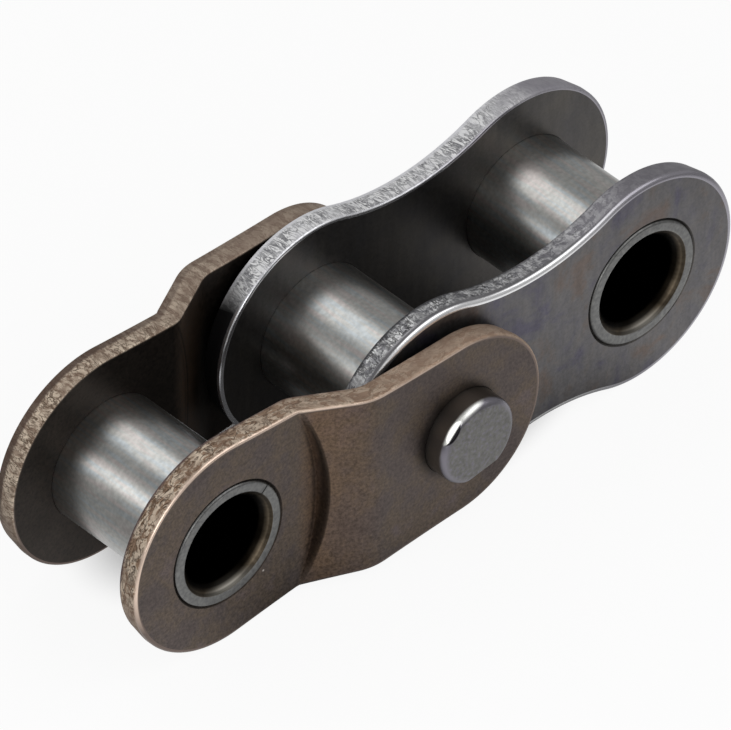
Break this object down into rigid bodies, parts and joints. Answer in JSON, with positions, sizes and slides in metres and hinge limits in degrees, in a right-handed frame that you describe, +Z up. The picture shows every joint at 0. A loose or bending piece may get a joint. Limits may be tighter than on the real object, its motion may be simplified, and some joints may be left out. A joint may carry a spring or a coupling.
{
  "type": "two-pitch offset chain link",
  "caption": "Offset link of a rollerless bush chain: a cranked link riveted by its pin to an inner link, used to join a chain that has an odd number of pitches.",
  "frame": {"origin": "centre of the bore of the inner link's free bush", "axes": "+X along the inner link, away from the cranked link; +Y along the pin and bushes; +Z up as it lies on its long plate edges"},
  "size_m": [0.0275, 0.0112, 0.0084],
  "materials": {
    "inner_plate": "hardened steel plate, grey with faint blue and purple temper tints",
    "offset_plate": "hardened steel plate with a dark brown oxide",
    "bush": "satin ground steel",
    "pin": "satin steel with a riveted end"
  },
  "bodies": {
    "inner_link": {"near_inner_plate": "inner_plate", "far_inner_plate": "inner_plate", "middle_bush": "bush", "end_bush": "bush"},
    "offset_link": {"near_offset_plate": "offset_plate", "far_offset_plate": "offset_plate", "offset_bush": "bush", "link_pin": "pin"}
  },
  "joints": [
    {"name": "pin_pivot", "type": "hinge", "parent": "inner_link", "child": "offset_link", "pos_m": [-0.00953, 0, 0], "axis": [0, 1, 0], "range_deg": [-100, 100]}
  ]
}
